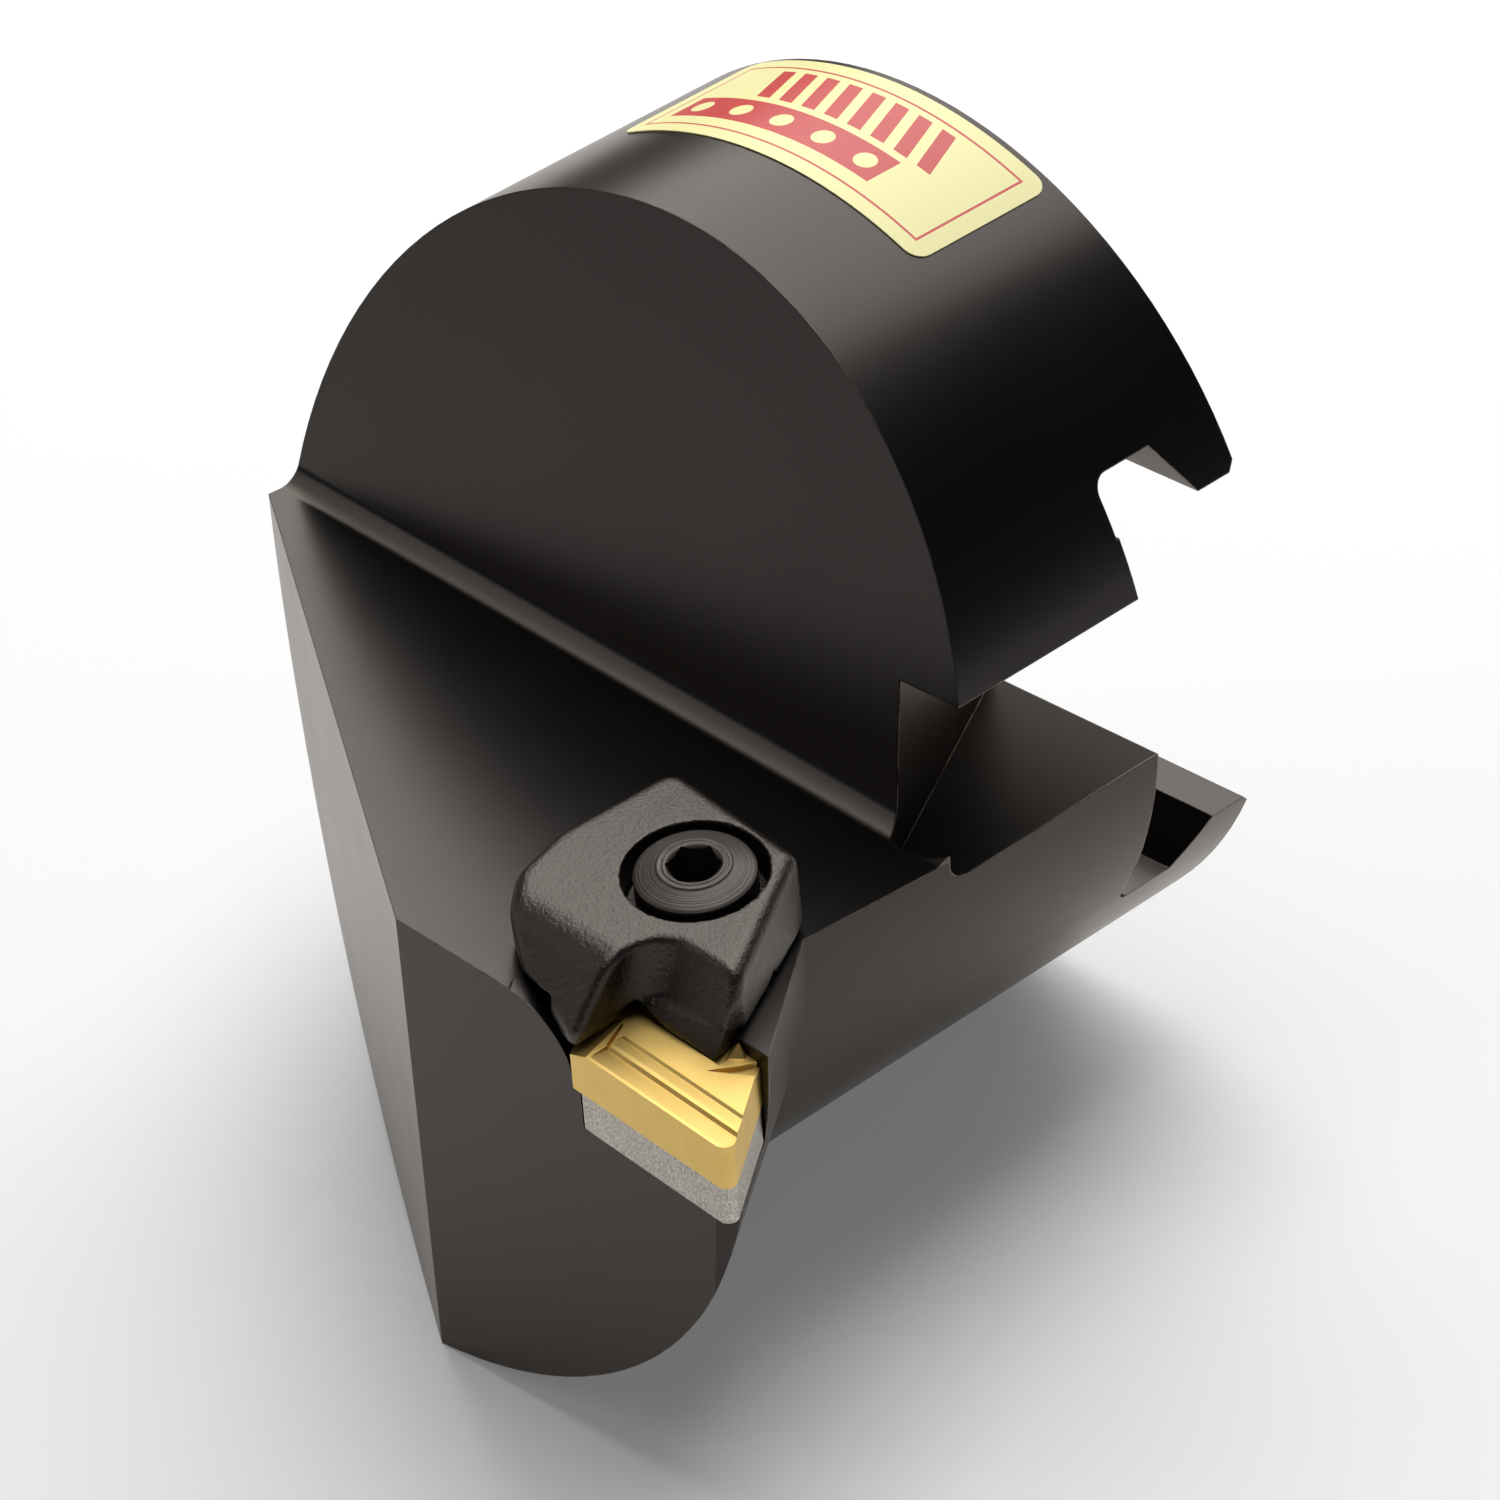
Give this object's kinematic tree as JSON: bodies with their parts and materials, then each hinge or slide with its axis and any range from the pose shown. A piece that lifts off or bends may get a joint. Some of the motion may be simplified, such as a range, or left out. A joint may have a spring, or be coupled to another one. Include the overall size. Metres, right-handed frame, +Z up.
{
  "type": "turning head",
  "caption": "Exchangeable round turning head with a hooked coupling slot at the back and a gold insert held in an open pocket by a screwed clamp with a claw.",
  "frame": {"origin": "middle of the flat coupling contact face, on the axis of the round head", "axes": "+X along the head's axis to the cutting end, +Y to the side of the insert's nose, +Z up, square to the coupling slot"},
  "size_m": [0.0771, 0.0934, 0.0828],
  "materials": {
    "head_steel": "black oxide on turned and milled tool steel, satin",
    "carbide": "sintered hard metal, fine speckle",
    "coated_insert": "gold coloured hard coating on hard metal, smooth satin",
    "clamp_steel": "black oxide on a cast clamp, grainy satin",
    "screw_steel": "black oxide on a turned screw head",
    "ring_steel": "spring steel, oiled",
    "pin_steel": "ground steel",
    "label_film": "printed film label, pale yellow with red"
  },
  "bodies": {
    "head": {"head_body": "head_steel", "shim": "carbide", "shim_pin": "pin_steel", "insert": "coated_insert", "guide_pin": "pin_steel", "label": "label_film", "clamp_spring": "ring_steel"},
    "clamp_moving": {"clamp": "clamp_steel"},
    "screw_moving": {"clamp_screw": "screw_steel", "retaining_ring": "ring_steel"}
  },
  "joints": [
    {"name": "clamp_lift", "type": "slide", "parent": "head", "child": "clamp_moving", "axis": [0.1007, 0.0833, 0.9914], "range_m": [0, 0.0025], "deforming": ["clamp_spring"]},
    {"name": "clamp_screw_turn", "type": "hinge", "parent": "clamp_moving", "child": "screw_moving", "pos_m": [0.0471, 0.0348, 0.0074], "axis": [0.1007, 0.0833, 0.9914], "range_deg": [0, 900]}
  ],
  "couplings": [
    {"joint": "clamp_screw_turn", "follows": "clamp_lift", "rad_per_m": 6283.2}
  ]
}
